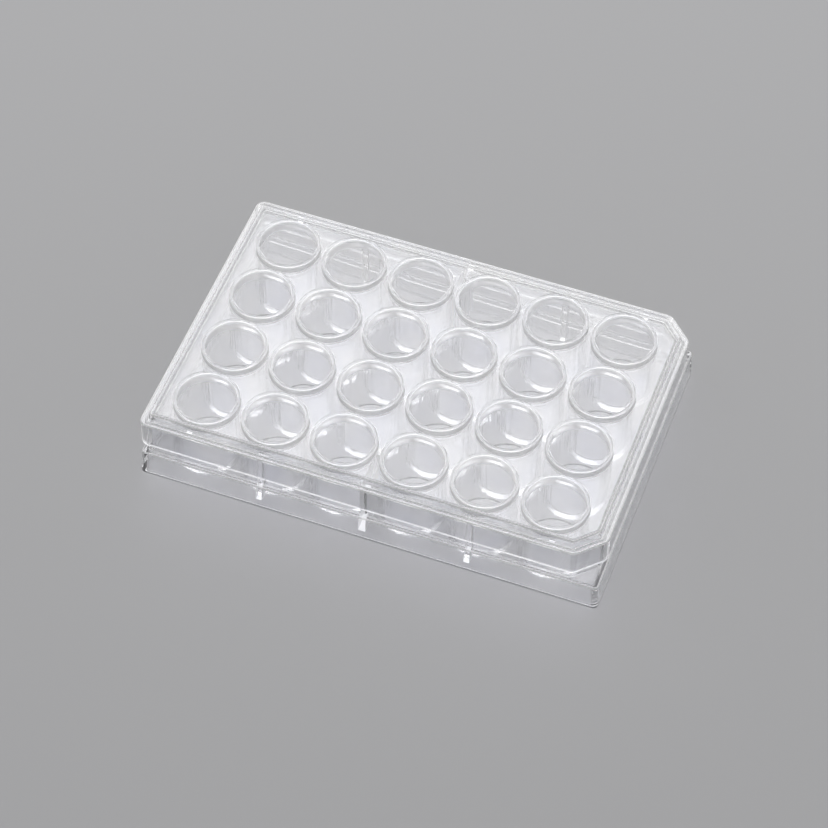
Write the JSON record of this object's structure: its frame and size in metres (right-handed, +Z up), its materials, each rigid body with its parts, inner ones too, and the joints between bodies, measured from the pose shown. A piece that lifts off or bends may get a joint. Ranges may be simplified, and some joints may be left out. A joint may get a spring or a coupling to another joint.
{
  "type": "well plate",
  "caption": "Clear multi-well cell culture plate: a grid of open round wells in a skirted body, under a loose lid with two cut-off corners.",
  "frame": {"origin": "middle of the footprint, on the plane that the skirt stands on", "axes": "+X along the long side towards the two cut-off corners, +Y along the short side, +Z up"},
  "size_m": [0.1278, 0.0854, 0.0223],
  "materials": {
    "clear_plate": "clear polished polystyrene",
    "clear_lid": "clear polished polystyrene"
  },
  "bodies": {
    "root": {"plate": "clear_plate", "lid": "clear_lid"}
  },
  "joints": []
}
